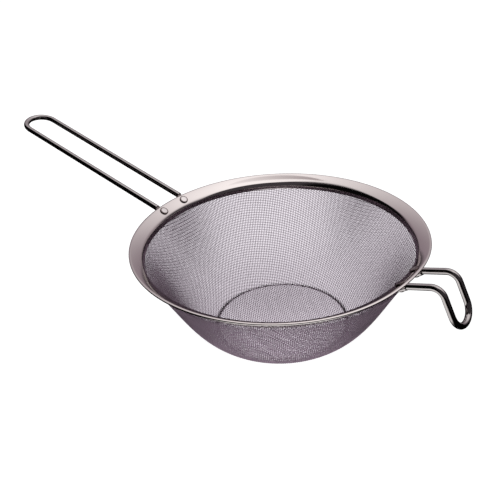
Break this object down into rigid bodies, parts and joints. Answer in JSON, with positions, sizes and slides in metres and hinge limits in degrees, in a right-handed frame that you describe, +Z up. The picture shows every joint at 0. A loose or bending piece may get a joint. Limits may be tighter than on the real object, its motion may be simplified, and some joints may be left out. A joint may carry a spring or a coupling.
{
  "type": "mesh strainer",
  "caption": "Round strainer with a flat-based bowl of wire mesh, a sloping steel brim, a riveted wire loop handle and a wire rest hook opposite, for draining and sifting food.",
  "frame": {"origin": "middle of the bowl's flat base, on the surface that it stands on", "axes": "+Z up out of the bowl's mouth, the handle along -X and the rest hook along +X"},
  "size_m": [0.3834, 0.2, 0.1096],
  "materials": {
    "brim_steel": "polished stainless sheet",
    "mesh_steel": "bright woven stainless wire",
    "wire_steel": "mirror polished stainless wire",
    "rivet_steel": "polished stainless"
  },
  "bodies": {
    "root": {"brim_ring": "brim_steel", "mesh_bowl": "mesh_steel", "handle_wire": "wire_steel", "handle_rivet_left": "rivet_steel", "handle_rivet_right": "rivet_steel", "hook_wire": "wire_steel", "hook_rivet_left": "rivet_steel", "hook_rivet_right": "rivet_steel"}
  },
  "joints": []
}
